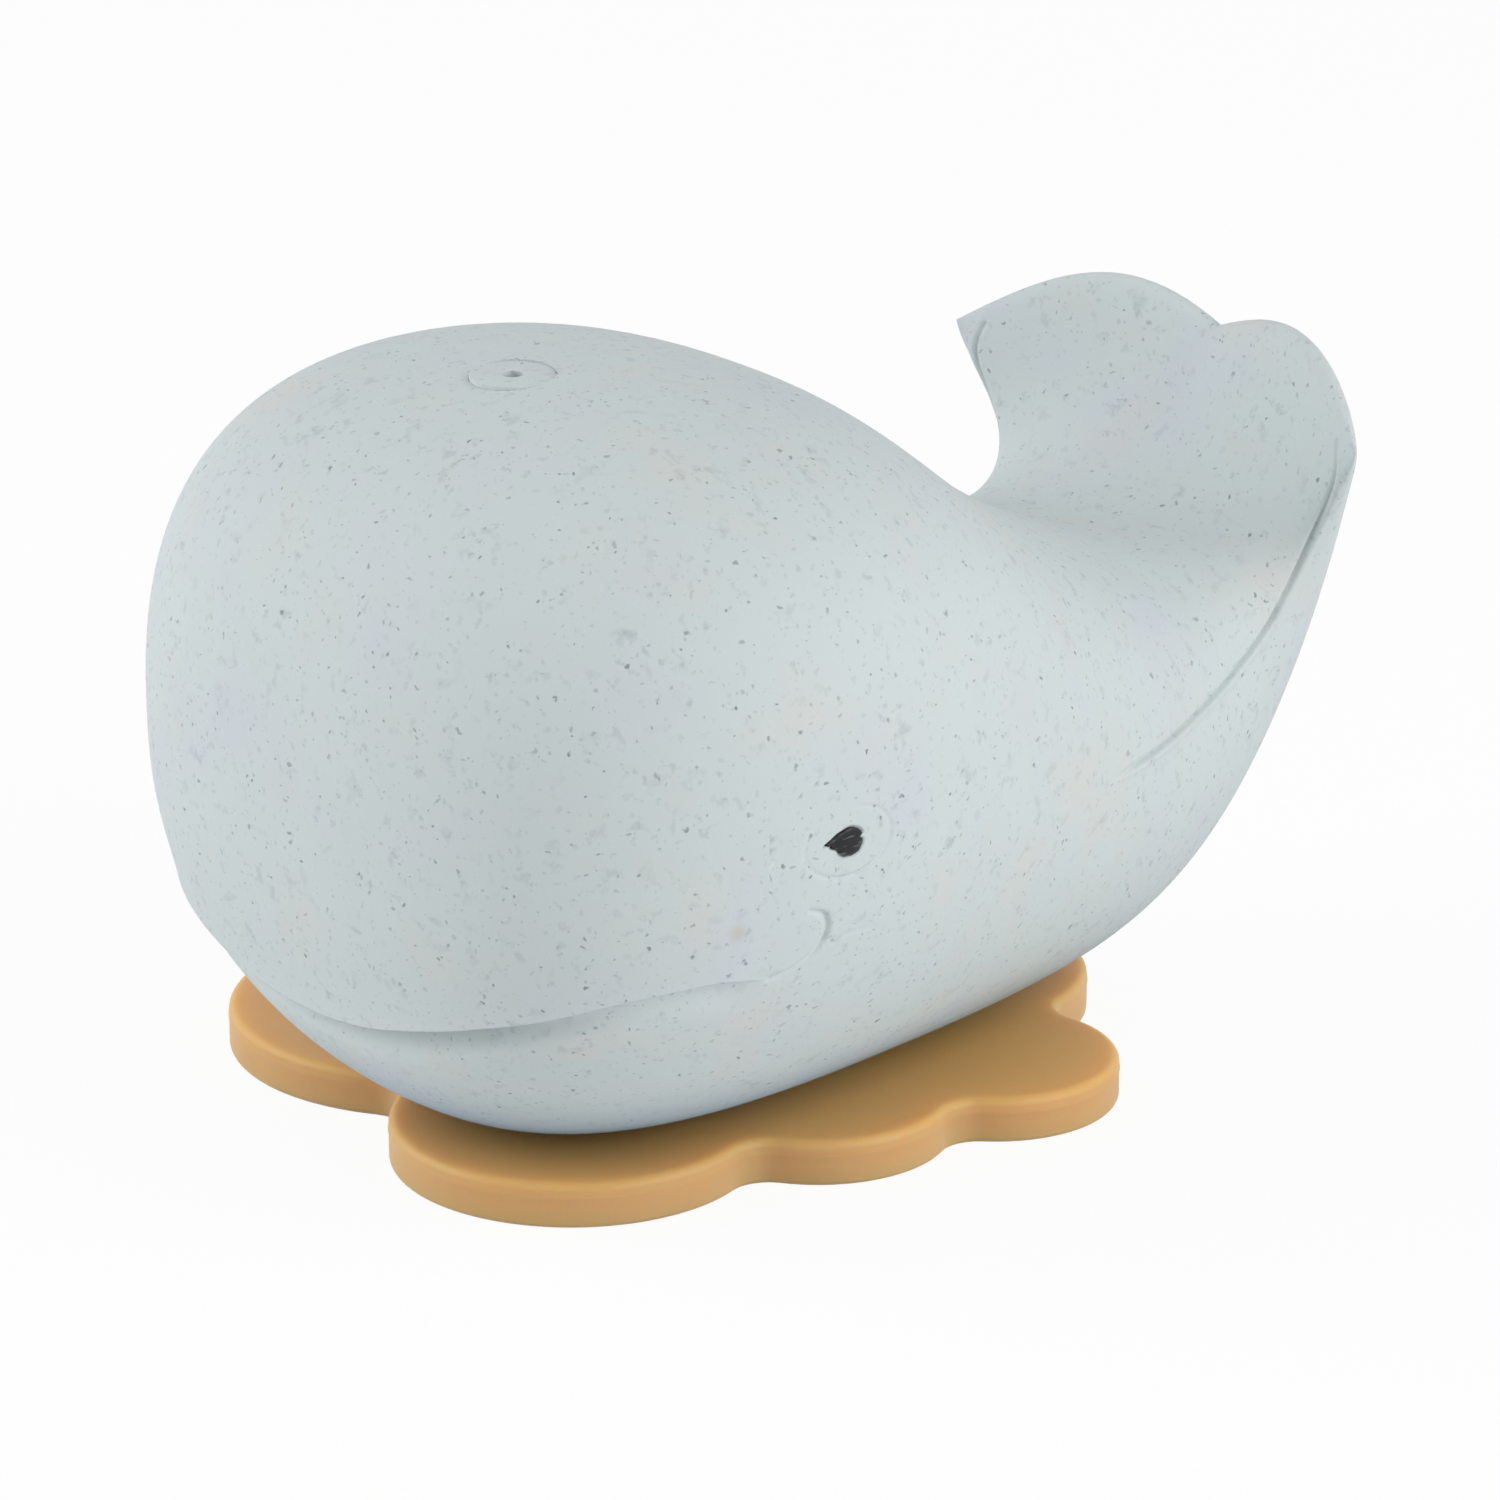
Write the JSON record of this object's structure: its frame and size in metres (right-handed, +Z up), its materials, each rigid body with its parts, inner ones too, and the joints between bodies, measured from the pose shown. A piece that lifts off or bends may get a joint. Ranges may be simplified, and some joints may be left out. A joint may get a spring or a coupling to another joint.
{
  "type": "squeaky bath toy",
  "caption": "Hollow rubber whale with an upturned tail on a scalloped splash base whose plug closes the belly port, with a small reed squeaker in the crown.",
  "frame": {"origin": "on the plug's axis, in the flat underside of the base", "axes": "+Y towards the tail, along the length; +X towards the whale's left cheek; +Z up, out of the floor"},
  "size_m": [0.0973, 0.1336, 0.0846],
  "materials": {
    "whale_rubber": "matte chalky natural rubber with fine dark speckles",
    "base_rubber": "satin amber natural rubber",
    "eye_paint": "glossy black paint",
    "squeaker_plastic": "moulded, matched to the whale",
    "reed_film": "thin polyester film"
  },
  "bodies": {
    "base": {"splash_base": "base_rubber"},
    "whale": {"whale_shell": "whale_rubber", "left_eye": "eye_paint", "right_eye": "eye_paint"},
    "squeaker": {"squeaker_sleeve": "squeaker_plastic", "squeaker_reed_holder": "squeaker_plastic", "squeaker_wedge": "squeaker_plastic"},
    "reed": {"squeaker_reed": "reed_film"}
  },
  "joints": [
    {"name": "pull_off", "type": "slide", "parent": "base", "child": "whale", "axis": [0, 0, 1], "range_m": [0, 0.035]},
    {"name": "squeeze", "type": "slide", "parent": "whale", "child": "squeaker", "axis": [0, 0, -1], "range_m": [0, 0.014], "stiffness_N_per_m": 800, "deforming": ["whale_shell"]},
    {"name": "reed_flutter", "type": "hinge", "parent": "squeaker", "child": "reed", "pos_m": [0, -0.02775, 0.07035], "axis": [1, 0, 0], "range_deg": [-4, 4], "stiffness_Nm_per_rad": 0.001}
  ]
}
